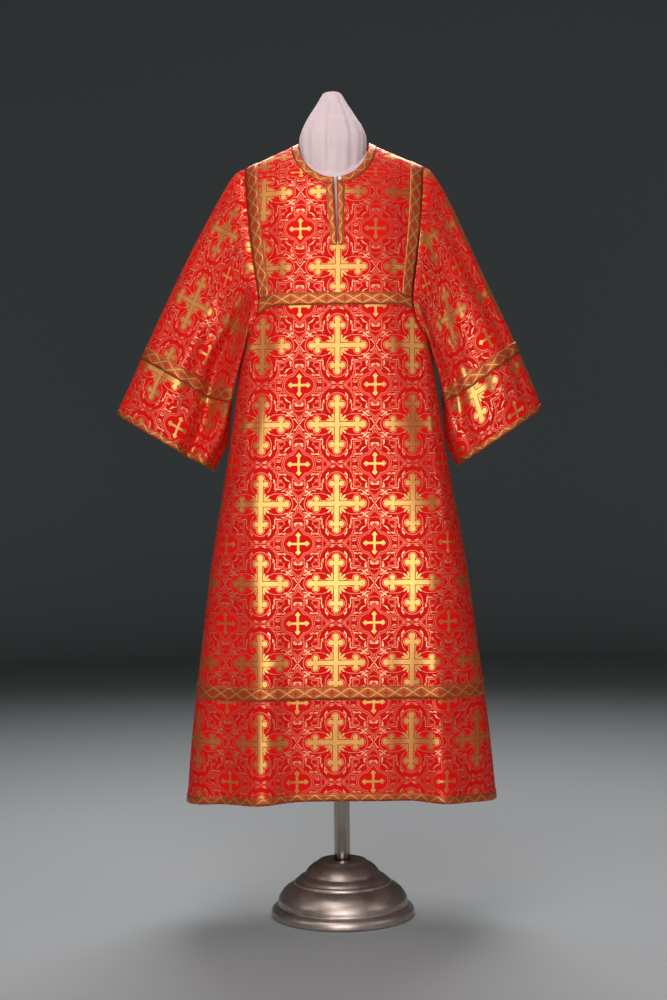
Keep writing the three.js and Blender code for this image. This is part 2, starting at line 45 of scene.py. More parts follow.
cameraData = bpy.data.cameras.new("camera")
cameraData.lens = cameraSetup["lens"]
cameraData.sensor_width = 36
cameraData.clip_end = 50
camera = bpy.data.objects.new("camera", cameraData)
camera.location = (cameraSetup["x"], -cameraSetup["distance"], cameraSetup["height"])
camera.rotation_euler = (math.pi / 2, math.radians(cameraSetup["roll"]), 0)
bpy.context.scene.collection.objects.link(camera)
bpy.context.scene.camera = camera

# sizes of the garment in millimetres
bodySections = [
    # height, half width, front depth, back depth, how squarely the front turns
    (238, 307, 146, 162, 3.3), (350, 297, 148, 158, 3.5), (468, 283, 150, 154, 3.7), (630, 262, 149, 147, 4),
    (718, 250, 146, 142, 4), (800, 236, 143, 137, 4), (934, 213, 139, 130, 3.9), (1130, 190, 134, 124, 3.7),
    (1250, 187, 131, 121, 3.3), (1350, 184, 127, 117, 3.1), (1450, 182, 118, 110, 3), (1560, 181, 110, 104, 3),
]
armholeEdge = [
    (1130, 190), (1142, 178), (1160, 164), (1190, 153), (1221, 150), (1295, 160), (1390, 171), (1490, 178),
]
skirtFolds = {
    # place at the hem, spread, rise, height where it ends
    "front": [
        (-156, 44, 31, 1080), (-236, 32, -12, 900), (198, 38, 26, 1060), (135, 40, -12, 900), (-78, 38, -5, 760),
    ],
    "back": [
        (-190, 40, 26, 1060), (-95, 42, -14, 1100), (0, 40, 18, 1180), (100, 40, -16, 1060), (195, 42, 24, 1000),
    ],
}
cut = {
    "hemFront": 252, "hemSide": 238, "hemHalf": 307, "underarm": 1130, "shoulderX": 178, "shoulderZ": 1490,
    "slope": 0.459, "ridgeRound": 30, "collarX": 80, "collarZ": 1535, "neckHalf": 70, "neckFront": 1458,
    "neckBack": 1530, "capStart": 1180, "seam": 0.15, "wall": 1.2,
}
foldFade = {"front": 2.1, "back": 1.25}
backPower = 2.7
slit = {"topX": 2.5, "topHalf": 2.6, "topZ": 1438, "footX": 5, "footHalf": 0.8, "footZ": 1327}
braid = {
    "wall": 0.7, "lift": 1.2, "chestLift": 1.9, "collarLift": 1.4, "wide": 25, "edging": 15, "cuff": 12, "placket": 17,
    "shoulderStart": 0.33, "shoulderShare": 0.14, "collarOut": 14, "collarDown": 12.5, "slitGap": 0.3,
}


def smooth(t):
    t = min(max(t, 0.0), 1.0)
    return t * t * (3 - 2 * t)


def read(rows, at, column):
    # smooth reading of one column of a table between its rows
    if at <= rows[0][0]:
        return rows[0][column]
    last = len(rows) - 1
    if at >= rows[last][0]:
        return rows[last][column]
    i = 0
    while rows[i + 1][0] < at:
        i += 1

    def tangent(k):
        before, after = rows[max(k - 1, 0)], rows[min(k + 1, last)]
        return (after[column] - before[column]) / (after[0] - before[0])

    span = rows[i + 1][0] - rows[i][0]
    t = (at - rows[i][0]) / span
    rise = t * t * (3 - 2 * t)
    lead = t * (1 - t) * (1 - t) * span * tangent(i)
    tail = t * t * (1 - t) * span * tangent(i + 1)
    return rows[i][column] * (1 - rise) + rows[i + 1][column] * rise + lead - tail


def ridge(x):
    soft = cut["ridgeRound"]
    return cut["collarZ"] - cut["slope"] * (math.hypot(x, soft) - math.hypot(cut["collarX"], soft))


def neckline(x, low, half):
    across = min(abs(x) / half, 1)
    return low + (ridge(half) - low) * (1 - math.sqrt(1 - across * across))


def cap(z, top):
    # how much of the depth is left on the way up to the shoulder ridge
    t = min(max((z - cut["capStart"]) / (top - cut["capStart"]), 0), 1)
    return math.sqrt(1 - t * t)


def bodyDepth(x, z, face):
    width = read(bodySections, z, 1)
    across = min(abs(x) / width, 1)
    power = read(bodySections, z, 4) if face == "front" else backPower
    bow = (1 - across ** power) ** (1 / power)
    depth = read(bodySections, z, 2 if face == "front" else 3)
    for place, spread, rise, top in skirtFolds[face]:
        if z < top:
            fade = ((top - z) / (top - cut["hemSide"])) ** foldFade[face]
            depth += rise * fade * math.exp(-(((x - place * width / cut["hemHalf"]) / spread) ** 2))
    return depth * bow * cap(z, ridge(x))


# soft creases of the panels: x, z, angle of the crease, half width, half length, rise
panelCreases = {
    "front": [
        (-135, 1300, 86, 24, 130, -7.0), (150, 1300, 92, 26, 150, -10.0), (-168, 800, 88, 36, 330, 9.0),
        (205, 760, 92, 36, 330, 8.0), (-150, 1110, 84, 22, 120, -4.0), (158, 1090, 96, 22, 130, -4.0),
        (-40, 1330, 78, 14, 60, 1.0), (52, 1345, 100, 14, 60, 1.0), (-60, 560, 89, 24, 200, 1.5),
        (60, 620, 91, 26, 240, -1.5), (95, 420, 93, 22, 130, 2.2), (-110, 420, 86, 20, 120, -2.2),
    ],
    "back": [
        (-110, 1250, 70, 20, 90, 3.4), (112, 1250, 110, 20, 90, 3.4), (-60, 1120, 84, 22, 160, -3.0),
        (58, 1100, 96, 24, 160, 3.0), (-150, 900, 84, 26, 240, 4.5), (150, 880, 96, 26, 240, -4.2),
        (0, 760, 90, 26, 260, 3.4), (-80, 560, 88, 26, 220, -3.4), (90, 520, 92, 26, 220, 3.4),
    ],
}


def creaseRise(x, z, creases):
    rise = 0.0
    for cx, cz, angle, halfWidth, halfLength, height in creases:
        dx, dz = x - cx, z - cz
        if abs(dz) > 2.4 * halfLength:
            continue
        a = math.radians(angle)
        along = dx * math.cos(a) + dz * math.sin(a)
        across = -dx * math.sin(a) + dz * math.cos(a)
        rise += height * math.exp(-((across / halfWidth) ** 2) - (along / halfLength) ** 2)
    return rise


def hemLine(c, face):
    return cut["hemSide"] if face == "back" else cut["hemFront"] + (cut["hemSide"] - cut["hemFront"]) * c * c


def panelPoint(c, up, face):
    # c runs from -1 to 1 across, up from 0 at the hem through 1 at the underarm to 2 at the shoulder
    if up <= 1:
        base = hemLine(c, face)
        z = base + (cut["underarm"] - base) * up
        spread = c * (1 + 0.5 * abs(c) * (1 - abs(c)) * smooth((cut["underarm"] - z) / 260))
        return read(bodySections, z, 1) * spread, z
    share = (1 - math.cos((up - 1) * math.pi)) / 2
    topX = cut["shoulderX"] * c
    low = cut["neckFront"] if face == "front" else cut["neckBack"]
    top = neckline(topX, low, cut["neckHalf"]) if abs(topX) < cut["neckHalf"] else ridge(topX)
    edge = read(armholeEdge, cut["underarm"] + (cut["shoulderZ"] - cut["underarm"]) * share, 1)
    return edge * c, cut["underarm"] + (top - cut["underarm"]) * share


def surfaceNormal(x, z, face):
    reach = 0.4
    slopeX = bodyDepth(x + reach, z, face) - bodyDepth(x - reach, z, face)
    slopeZ = bodyDepth(x, z + reach, face) - bodyDepth(x, z - reach, face)
    normal = Vector((-slopeX, -2 * reach if face == "front" else 2 * reach, -slopeZ))
    width = read(bodySections, z, 1)
    if abs(x) > 0.9995 * width or z > ridge(x) - 0.05:
        normal.y = 0
    return normal.normalized()


def onBody(x, z, face, lift=0.0):
    outward = -1 if face == "front" else 1
    width = read(bodySections, z, 1)
    edgeFade = smooth((1 - abs(x) / width) * 7) * smooth((ridge(x) - z) / 40)
    depth = bodyDepth(x, z, face) + creaseRise(x, z, panelCreases[face]) * edgeFade
    point = Vector((x, outward * (depth + cut["seam"]), z))
    return point + surfaceNormal(x, z, face) * lift


def lookUp(table, i, j):
    # straight reading between the columns and rows of a table
    column, row = min(int(i), len(table[0]) - 2), min(int(j), len(table) - 2)
    across, up = i - column, j - row
    low, high = (table[k][column] * (1 - across) + table[k][column + 1] * across for k in (row, row + 1))
    return low * (1 - up) + high * up


# the pattern is laid by lengths over the body
chartSetup = {
    "stepX": 5, "stepZ": 12, "half": 320, "foot": 220, "top": 1580, "crossX": 5, "crossZ": 1277, "lean": 0.0178,
    "yokeZ": 1150, "yokeOver": 220, "shoulderZ": 1440, "shoulderStretch": 1.1,
}


def makeChart(face):
    stepX, stepZ, lows = chartSetup["stepX"], chartSetup["stepZ"], -chartSetup["half"]
    count = 2 * chartSetup["half"] // stepX
    zs = list(range(chartSetup["foot"], chartSetup["top"], stepZ))
    across = []
    for z in zs:
        widest = read(bodySections, z, 1) + stepX
        row, before = [0.0], bodyDepth(lows, z, face)
        for i in range(1, count + 1):
            x = lows + i * stepX
            depth = bodyDepth(x, z, face)
            row.append(row[-1] + (math.hypot(stepX, depth - before) if abs(x) <= widest else stepX))
            before = depth
        across.append([value - row[count // 2] for value in row])

    def chart(x, z):
        u = lookUp(across, min(max((x - lows) / stepX, 0), count), min(max((z - zs[0]) / stepZ, 0), len(zs) - 1))
        # the yoke lies flat across, and its cloth leans back to the shoulder, so its length outruns its height
        u += (x - u) * smooth((z - chartSetup["yokeZ"]) / chartSetup["yokeOver"])
        v = z + chartSetup["shoulderStretch"] * max(z - chartSetup["shoulderZ"], 0)
        crossZ = chartSetup["crossZ"]
        return u - chartSetup["crossX"] + (crossZ - z) * chartSetup["lean"], v - crossZ

    return chart


charts = {"front": makeChart("front"), "back": makeChart("back")}


def modify(obj, name, kind, **settings):
    modifier = obj.modifiers.new(name, kind)
    for key, value in settings.items():
        setattr(modifier, key, value)


def addWall(obj, wall):
    modify(obj, "wall", "SOLIDIFY", thickness=wall * mm, offset=-1, use_even_offset=False)


def finishMesh(name, mesh, wall=0.0, flatEnds=False):
    for face in mesh.faces:
        face.smooth = not flatEnds or len(face.verts) == 4
    data = bpy.data.meshes.new(name)
    mesh.to_mesh(data)
    mesh.free()
    obj = bpy.data.objects.new(name, data)
    bpy.context.scene.collection.objects.link(obj)
    if wall:
        addWall(obj, wall)
    return obj


def clothSheet(name, across, along, place, wall, wrapped=False):
    # a grid laid by place(s, t), s and t from 0 to 1, which gives a point and its pattern place in millimetres
    mesh = bmesh.new()
    bmesh.ops.create_grid(mesh, x_segments=across, y_segments=along, size=1)
    layer = mesh.loops.layers.uv.new("cloth")
    chartOf = {}
    for vert in mesh.verts:
        point, chartOf[vert] = place((vert.co.x + 1) / 2, (vert.co.y + 1) / 2)
        vert.co = point * mm
    for face in mesh.faces:
        for loop in face.loops:
            loop[layer].uv = Vector(chartOf[loop.vert]) * mm
    if wrapped:
        bmesh.ops.remove_doubles(mesh, verts=mesh.verts, dist=0.00002)
    return finishMesh(name, mesh, wall)


def spun(outline, steps):
    # radius and height of an outline, turned round the upright axis
    mesh = bmesh.new()
    last = None
    for r, z in outline:
        vert = mesh.verts.new((r * mm, 0, z * mm))
        if last:
            mesh.edges.new((last, vert))
        last = vert
    bmesh.ops.spin(mesh, geom=mesh.verts[:] + mesh.edges[:], cent=(0, 0, 0), axis=(0, 0, 1), angle=2 * math.pi,
                   steps=steps, use_merge=True)
    bmesh.ops.remove_doubles(mesh, verts=mesh.verts, dist=1e-6)
    bmesh.ops.recalc_face_normals(mesh, faces=mesh.faces)
    return mesh


class Nodes:
    # short words for the shader nodes of one material
    def __init__(self, name):
        self.material = bpy.data.materials.new(name)
        self.material.use_nodes = True
        self.tree = self.material.node_tree
        self.shader = self.tree.nodes["Principled BSDF"]

    def add(self, kind, *values, **settings):
        # the values go to the node's inputs in their order
        node = self.tree.nodes.new(kind)
        for key, value in settings.items():
            setattr(node, key, value)
        for socket, value in zip(node.inputs, values):
            self.feed(socket, value)
        return node

    def feed(self, socket, value):
        if isinstance(value, bpy.types.NodeSocket):
            self.tree.links.new(value, socket)
        else:
            socket.default_value = value

    def calc(self, operation, *values, clamp=False):
        return self.add("ShaderNodeMath", *values, operation=operation, use_clamp=clamp).outputs[0]

    def vector(self, operation, *values):
        node = self.add("ShaderNodeVectorMath", *values, operation=operation)
        return node.outputs["Value"] if operation in ("LENGTH", "DISTANCE") else node.outputs[0]

    def less(self, value, by, clamp=False):
        return self.calc("SUBTRACT", value, by, clamp=clamp)

    def times(self, value, by):
        return self.calc("MULTIPLY", value, by)

    def ramp(self, value, factor, offset, clamp=False):
        return self.calc("MULTIPLY_ADD", value, factor, offset, clamp=clamp)

    def size(self, value):
        return self.calc("ABSOLUTE", value)

    def chain(self, operation, values):
        result = values[0]
        for value in values[1:]:
            result = self.calc(operation, result, value)
        return result

    def least(self, *values):
        return self.chain("MINIMUM", values)

    def most(self, *values):
        return self.chain("MAXIMUM", values)

    def split(self, place):
        return self.add("ShaderNodeSeparateXYZ", place).outputs[:2]

    def joined(self, x, y):
        return self.add("ShaderNodeCombineXYZ", x, y).outputs[0]

    def circle(self, place, x, y, radius):
        return self.less(self.vector("DISTANCE", place, (x, y, 0)), radius)

    def oval(self, place, x, y, longHalf, shortHalf, turn):
        # below 1 inside the oval
        node = self.add("ShaderNodeMapping", place, (x, y, 0), (0, 0, math.radians(turn)), (longHalf, shortHalf, 1),
                        vector_type="TEXTURE")
        return self.vector("LENGTH", node.outputs[0])

    def inside(self, distance, soft=0.35):
        # 1 where the distance is below 0, with a soft edge
        return self.ramp(distance, -0.5 / soft, 0.5, True)

    def line(self, distance, half):
        # 1 on the line where the distance is 0
        return self.ramp(self.size(distance), -1.0 / half, 1.35, True)

    def mix(self, share, first, second):
        node = self.add("ShaderNodeMix", data_type="RGBA")
        self.feed(node.inputs[0], share)
        self.feed(node.inputs[6], first)
        self.feed(node.inputs[7], second)
        return node.outputs[2]

    def noise(self, place, scale, detail=2.0, roughness=0.5, output="Fac"):
        return self.add("ShaderNodeTexNoise", place, 0.0, scale, detail, roughness).outputs[output]

    def stretched(self, place, scale):
        return self.add("ShaderNodeMapping", place, (0, 0, 0), (0, 0, 0), scale).outputs[0]

    def bump(self, height, distance, strength=1.0):
        node = self.add("ShaderNodeBump", strength, distance)
        self.feed(node.inputs["Height"], height)
        self.feed(self.shader.inputs["Normal"], node.outputs[0])

    def surface(self, values):
        for name, value in values.items():
            self.feed(self.shader.inputs[name], value)

    def cloth(self):
        return self.add("ShaderNodeUVMap", uv_map="cloth").outputs[0]

    def ownPlace(self):
        return self.add("ShaderNodeTexCoord").outputs["Object"]


def srgb(r, g, b):
    def linear(value):
        value /= 255
        return value / 12.92 if value <= 0.04045 else ((value + 0.055) / 1.055) ** 2.4
    return (linear(r), linear(g), linear(b), 1)


brocadeLook = {
    "repeatWide": 146, "repeatHigh": 152,
    "red": srgb(214, 18, 15), "redDeep": srgb(186, 11, 10), "redField": srgb(212, 17, 14),
    "contour": srgb(120, 36, 14), "gold": srgb(198, 186, 108), "goldDeep": srgb(178, 162, 86),
    "rim": srgb(204, 150, 102), "line": srgb(212, 128, 102), "leaf": srgb(220, 176, 130), "twill": 0.9, "wobble": 8.0,
}

# a quarter of the repeat in millimetres from the middle of the large cross: places, then reaches
brocadeChart = {
    "bars": (4.6, 46), "buds": [(49.5, 0, 6.2), (38.5, 9.4, 5.4), (0, 49.5, 6.2), (9.4, 38.5, 5.4)],
    "rays": [(12.0, 12.0, 8.0, 2.3, 45), (14.4, 7.4, 6.6, 1.9, 22), (7.4, 14.4, 6.6, 1.9, 68)],
    "rim": 1.75, "rimHalf": 0.7, "rimDark": 0.5, "darkHalf": 0.55, "smallBars": (2.3, 21), "smallBud": (16.5, 5.6),
    "ogee": (11, 0, 17.5), "lobe": (36, 6, 20), "upperLobe": (0, 39, 22, 20, 90), "outerSide": (42, 0, 30.5),
    "outerTop": (0, 42, 34.5), "fan": (32, 33, 13.5), "bracket": (30, 31, 9), "palmTop": (38, 12), "palmSide": (37, 11),
    "post": (61, 38, 10), "rail": (62, 35, 9), "ogeeInner": 3.4, "outerHalf": 1.7, "bracketIn": 4.2,
}

# leaves of the quarter: x, y, half length, half width, turn
leaves = [
    (54.3, 20.5, 8.4, 1.7, -30), (58.5, 22.5, 4.0, 1.4, 38), (50.2, 18.8, 3.6, 1.3, 62), (49.8, 47.5, 6.4, 1.7, -42),
    (56.2, 35.5, 4.8, 1.5, 88), (39.0, 55.0, 5.4, 1.5, 8), (18.8, 54.5, 6.4, 1.4, -60), (69.6, 4.6, 3.8, 1.3, -60),
    (66.5, 8.6, 3.2, 1.1, -20), (6.2, 69.0, 4.6, 1.3, -24), (7.2, 73.4, 3.8, 1.1, -12), (67.4, 38.2, 5.0, 1.9, -52),
    (34.8, 70.4, 4.8, 1.8, -30), (45.2, 57.8, 4.2, 1.3, -48), (25.0, 44.0, 4.6, 1.3, 78), (43.5, 24.6, 4.6, 1.3, 12),
]


def makeBrocade(name):
    look, chart = brocadeLook, brocadeChart
    net = Nodes(name)
    u, v = net.split(net.stretched(net.cloth(), (1 / mm, 1 / mm, 1)))
    halfWide, halfHigh = look["repeatWide"] / 2, look["repeatHigh"] / 2
    x, y = net.calc("PINGPONG", u, halfWide), net.calc("PINGPONG", v, halfHigh)
    place = net.joined(x, y)
    # drawn lines and leaves waver a little, as woven ones do
    waver = net.vector("SUBTRACT", net.noise(place, 0.15, 0.0, output="Color"), (0.5, 0.5, 0.5))
    drawn = net.vector("ADD", place, net.vector("MULTIPLY", waver, (look["wobble"], look["wobble"], 0)))

    def bars(across, up, half, arm):
        return net.least(net.most(net.less(up, half), net.less(across, arm)),
                         net.most(net.less(across, half), net.less(up, arm)))

    def diamond(across, up, at, half):
        return net.less(net.calc("ADD", net.size(net.less(across, at)), up), half)

    def stem(across, up, at, middle, half):
        return net.most(net.size(net.less(across, at)), net.less(net.size(net.less(up, middle)), half))

    # large budded cross
    cross = net.least(bars(x, y, *chart["bars"]), *(net.circle(place, *bud) for bud in chart["buds"]))
    crossIn = net.inside(cross)
    # rays between its arms
    rays = net.least(*(net.oval(place, *ray) for ray in chart["rays"]))
    raysIn = net.times(net.ramp(rays, -4.0, 4.4, True), net.inside(net.less(1.2, cross)))
    rimIn = net.inside(net.less(net.size(net.less(cross, chart["rim"])), chart["rimHalf"]), 0.3)
    rimDark = net.line(net.less(cross, chart["rimDark"]), chart["darkHalf"])

    # small cross in its frame
    toSmall = net.vector("ABSOLUTE", net.vector("SUBTRACT", place, (halfWide, halfHigh, 0)))
    sx, sy = net.split(toSmall)
    smallBud = chart["smallBud"]
    smallIn = net.inside(net.least(
        bars(sx, sy, *chart["smallBars"]), diamond(sx, sy, *smallBud), diamond(sy, sx, *smallBud),
    ))
    tip = net.ramp(net.ramp(sx, 1.35, sy), 0.6, -19.8)
    ogee = net.least(net.circle(toSmall, *chart["ogee"]), tip)

    # field round the large cross: two long lobes
    lobeAt, lobeReach, lobeHalf = chart["lobe"]
    reachX = net.most(net.less(net.size(net.less(x, lobeAt)), lobeReach), 0)
    lobe = net.less(net.calc("SQRT", net.ramp(reachX, reachX, net.times(y, y))), lobeHalf)
    field = net.least(lobe, net.ramp(net.oval(place, *chart["upperLobe"]), lobeHalf, -lobeHalf))
    clearMiddle = net.ramp(net.vector("LENGTH", place), 0.5, -12, True)

    # what is drawn on the open ground between the lobes and the frame
    fanX, fanY, fanHalf = chart["fan"]
    fanBox = net.least(net.less(x, fanX), net.less(y, fanY))
    bracket = net.most(net.size(net.calc("ADD", fanBox, chart["bracketIn"])), net.circle(place, *chart["bracket"]))
    outer = net.least(net.circle(drawn, *chart["outerSide"]), net.circle(drawn, *chart["outerTop"]))
    palmX, palmHalf = chart["palmSide"]
    strokes = net.least(*(net.size(stroke) for stroke in (
        net.less(net.size(outer), chart["outerHalf"]),
        net.most(net.circle(drawn, fanX, fanY, fanHalf), net.times(fanBox, -1)),
        net.circle(drawn, halfWide, *chart["palmTop"]), net.circle(drawn, palmX, halfHigh, palmHalf),
        stem(x, y, *chart["post"]), stem(y, x, *chart["rail"]),
    )))
    offField = net.inside(net.times(field, -1))
    openGround = net.times(offField, net.inside(net.less(2.0, ogee)))
    lines = net.most(
        net.times(net.line(field, 0.95), clearMiddle), net.line(ogee, 0.95),
        net.times(net.line(net.less(ogee, chart["ogeeInner"]), 0.85), offField),
        net.times(openGround, net.line(strokes, 0.9)),
    )
    bracketIn = net.times(net.inside(net.less(bracket, 0.9)), openGround)
    leafSet = net.least(*(net.oval(drawn, *leaf) for leaf in leaves))
    leafIn = net.most(net.ramp(leafSet, -2.4, 2.9, True), bracketIn)
    solid = net.most(crossIn, smallIn, raysIn)

    # weave: gold floats over red ground threads, with slubs and a slow change of tone
    floats = net.ramp(net.calc("PINGPONG", net.ramp(v, 0.5, u), look["twill"] / 2), -4.4, 1.6, True)
    weave = net.noise(net.stretched(net.cloth(), (900, 3200, 1)), 1.0, 1.0)
    slow = net.noise(net.cloth(), 9.0, 2.0)
    inner = net.inside(net.least(field, ogee))
    red = net.mix(inner, net.mix(slow, look["redDeep"], look["red"]), look["redField"])
    threads = net.mix(net.calc("GREATER_THAN", leafIn, 0.5), look["line"], look["leaf"])
    threads = net.mix(net.calc("GREATER_THAN", rimIn, 0.5), threads, look["rim"])
    threads = net.mix(solid, threads, net.mix(weave, look["goldDeep"], look["gold"]))
    covered = net.most(solid, net.most(net.times(lines, 0.9), leafIn, net.times(rimIn, 0.95)))
    metal = net.times(net.less(covered, net.times(rimDark, 0.7), True), floats)
    net.surface({
        "Base Color": net.mix(metal, net.mix(net.times(rimDark, 0.8), red, look["contour"]), threads),
        "Metallic": metal, "Roughness": net.ramp(weave, 0.1, net.ramp(metal, -0.34, 0.6)), "Specular IOR Level": 0.06,
    })
    net.bump(net.ramp(weave, 0.35, covered), 0.00022, 0.4)
    return net.material


galloonLook = {
    "repeat": 34.5, "half": 12.5, "foldedHalf": 15.5, "ground": srgb(174, 110, 58), "groundDeep": srgb(138, 80, 38),
    "bright": srgb(236, 198, 120), "edge": srgb(116, 44, 22), "red": srgb(190, 22, 17), "base": srgb(178, 64, 30),
    "border": 2.2, "cross": (6.0, 1.4), "tinyCross": (3.0, 1.0), "bandIn": 2.0, "rimIn": 0.9,
}


def makeGalloon(name, folded=False):
    # u runs along the braid, v across it from 0 to its width
    look = galloonLook
    net = Nodes(name)
    u, v = net.split(net.stretched(net.cloth(), (1 / mm, 1 / mm, 1)))
    half, reach = look["foldedHalf"] if folded else look["half"], look["repeat"] / 2
    x, y = net.calc("PINGPONG", u, reach), net.size(net.less(v, 0 if folded else half))
    place = net.joined(x, y)
    slope = (half - look["border"]) / reach
    latticeLine = net.ramp(net.size(net.less(y, net.times(x, slope))), -0.9, 1.6, True)
    crossSet = net.least(*(
        net.oval(place, at, up, *arm, turn)
        for at, up, arm in ((reach, 0, look["cross"]), (0, half * 0.68, look["tinyCross"])) for turn in (0, 90)
    ))
    crossIn = net.ramp(crossSet, -2.2, 2.8, True)
    edgeBand = net.line(net.less(y, half - look["bandIn"]), 0.7)
    edgeRim = net.inside(net.less(half - look["rimIn"], y), 0.3)
    rib = net.calc("SINE", net.times(u, 6.5))
    weave = net.noise(net.stretched(net.cloth(), (1500, 1500, 1)), 1.0, 2.0)
    floats = net.ramp(net.calc("PINGPONG", u, 0.35), -5.0, 1.5, True)
    colour = net.mix(weave, look["groundDeep"], look["ground"])
    for part, share, tone in ((latticeLine, 0.8, "bright"), (edgeBand, 0.6, "edge"), (edgeRim, 0.5, "bright")):
        colour = net.mix(net.times(part, share), colour, look[tone])
    metal = net.times(floats, net.ramp(crossIn, -0.9, 0.92))
    net.surface({
        "Base Color": net.mix(metal, net.mix(crossIn, look["base"], look["red"]), colour), "Metallic": metal,
        "Roughness": net.ramp(weave, 0.14, 0.3), "Specular IOR Level": 0.15,
    })
    net.bump(net.calc("ADD", net.times(rib, 0.18), net.ramp(latticeLine, 0.6, weave)), 0.00025, 0.7)
    return net.material


def dress(obj, slotName, material, *nodes):
    obj.data.materials.append(material)
    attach(obj, "root")
    if nodes:
        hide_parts(*nodes)
    return obj


brocadeBody = makeBrocade("brocadeBody")
galloonFlat = makeGalloon("galloonFlat")
galloonFold = makeGalloon("galloonFold", folded=True)
print("cloth materials ready")

neckShare = cut["neckHalf"] / cut["shoulderX"]


def acrossPlace(s):
    # columns gather at the neck corner, so one of them stands right on it
    c = 2 * s - 1
    size, sign, corner = abs(c), math.copysign(1, c), 0.4
    if size < corner:
        t = size / corner
        return sign * neckShare * (0.3 * t + 0.7 * math.sin(math.pi / 2 * t))
    return sign * (neckShare + (1 - neckShare) * (size - corner) / (1 - corner))


def acrossFace(s, face):
    return (2 * s - 1) * (1 if face == "front" else -1)


def panelPlace(face):
    def place(s, t):
        c = acrossPlace(s if face == "front" else 1 - s)
        # two thirds of the rows lie below the underarm
        up = t / 0.66 if t < 0.66 else 1 + (t - 0.66) / 0.34
        x, z = panelPoint(c, min(up, 2), face)
        return onBody(x, z, face), charts[face](x, z)
    return place


frontPanel = clothSheet("frontPanel", 130, 200, panelPlace("front"), 0)
backPanel = clothSheet("backPanel", 100, 150, panelPlace("back"), cut["wall"])

# the slit is cut out of the front panel between two slanted lines
mesh = bmesh.new()
mesh.from_mesh(frontPanel.data)
slitEdges = [
    (slit["footX"] + side * slit["footHalf"], slit["topX"] + side * slit["topHalf"]) for side in (-1, 1)
]
slitRise = slit["topZ"] - slit["footZ"]


def slitRegion():
    faces = [f for f in mesh.faces if f.calc_center_median().z > (slit["footZ"] - 12) * mm
             and abs(f.calc_center_median().x) < 0.016]
    return list({g for f in faces for g in (*f.verts, *f.edges)}) + faces


bmesh.ops.bisect_plane(mesh, geom=slitRegion(), dist=1e-7, plane_co=(0, 0, slit["footZ"] * mm), plane_no=(0, 0, 1))
for footX, topX in slitEdges:
    bmesh.ops.bisect_plane(mesh, geom=slitRegion(), dist=1e-7, plane_co=(footX * mm, 0, slit["footZ"] * mm),
                           plane_no=Vector((slitRise, 0, footX - topX)).normalized())
gone = []
for f in mesh.faces:
    centre = f.calc_center_median() / mm
    if centre.z > slit["footZ"] and abs(centre.x) < 12:
        share = (centre.z - slit["footZ"]) / slitRise
        left, right = (foot + (top - foot) * share for foot, top in slitEdges)
        if left < centre.x < right:
            gone.append(f)
bmesh.ops.delete(mesh, geom=gone, context="FACES")
mesh.to_mesh(frontPanel.data)
mesh.free()
addWall(frontPanel, cut["wall"])

dress(frontPanel, "brocade", brocadeBody, "front_panel")
dress(backPanel, "brocade", brocadeBody, "back_panel")
print("body panels ready")

